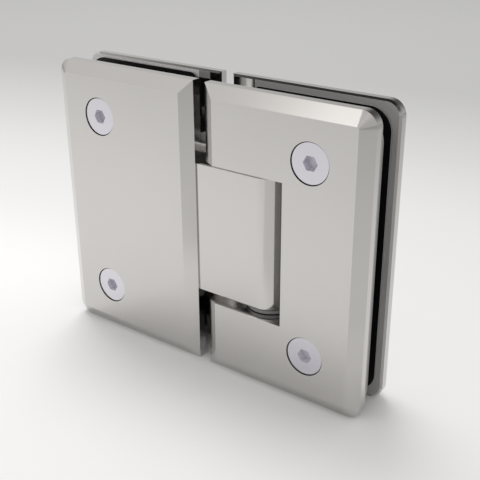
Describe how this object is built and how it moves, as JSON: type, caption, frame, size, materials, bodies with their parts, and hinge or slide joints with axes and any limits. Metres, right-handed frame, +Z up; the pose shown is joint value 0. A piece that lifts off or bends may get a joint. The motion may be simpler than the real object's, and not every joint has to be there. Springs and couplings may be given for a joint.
{
  "type": "glass-to-glass hinge",
  "caption": "Glass-to-glass hinge: bevelled metal clamp plates with rubber pads grip two glass panels edge to edge, and a pivot block on a vertical pin lets one swing.",
  "frame": {"origin": "centre of the base: in the middle of the joint between the two panels, in the middle of the glass, at the height of the plates' bottom edges", "axes": "+X across the hinge from the fixed panel to the door, +Y from the screw-head face to the plain back, +Z up along the pin"},
  "size_m": [0.1122, 0.0198, 0.09],
  "materials": {
    "satin_nickel": "satin nickel plate",
    "gasket_rubber": "smooth black rubber sheet",
    "screw_steel": "bright zinc plate",
    "bearing_bronze": "plain sintered bronze",
    "washer_nylon": "grey nylon",
    "hard_steel": "ground hardened steel",
    "spring_steel": "drawn spring wire"
  },
  "bodies": {
    "fixed_side": {"fixed_front_plate": "satin_nickel", "fixed_back_plate": "satin_nickel", "fixed_front_gasket": "gasket_rubber", "fixed_back_gasket": "gasket_rubber", "fixed_clamp_screws": "screw_steel", "pivot_block": "satin_nickel", "block_screws": "screw_steel", "upper_bush": "bearing_bronze", "lower_bush": "bearing_bronze", "upper_thrust_washer": "washer_nylon", "lower_detent_spring": "spring_steel", "upper_detent_spring": "spring_steel", "detent_adjusters": "screw_steel"},
    "door_side": {"door_front_plate": "satin_nickel", "door_back_plate": "satin_nickel", "door_front_gasket": "gasket_rubber", "door_back_gasket": "gasket_rubber", "door_clamp_screws": "screw_steel", "pivot_pin": "hard_steel", "upper_pin_carrier": "satin_nickel", "lower_pin_carrier": "satin_nickel", "pin_set_screws": "screw_steel", "carrier_screws": "screw_steel", "lower_thrust_washer": "washer_nylon"},
    "upper_plunger_body": {"upper_plunger": "hard_steel"},
    "lower_plunger_body": {"lower_plunger": "hard_steel"}
  },
  "joints": [
    {"name": "door_swing", "type": "hinge", "parent": "fixed_side", "child": "door_side", "pos_m": [0.0197, 0, 0.045], "axis": [0, 0, 1], "range_deg": [-90, 90]},
    {"name": "upper_plunger_travel", "type": "slide", "parent": "fixed_side", "child": "upper_plunger_body", "axis": [1, 0, 0], "range_m": [0, 0.0006], "stiffness_N_per_m": 2000, "springref_m": 0.004},
    {"name": "lower_plunger_travel", "type": "slide", "parent": "fixed_side", "child": "lower_plunger_body", "axis": [1, 0, 0], "range_m": [0, 0.0006], "stiffness_N_per_m": 2000, "springref_m": 0.004}
  ],
  "couplings": [
    {"joint": "lower_plunger_travel", "follows": "upper_plunger_travel", "ratio": 1}
  ]
}
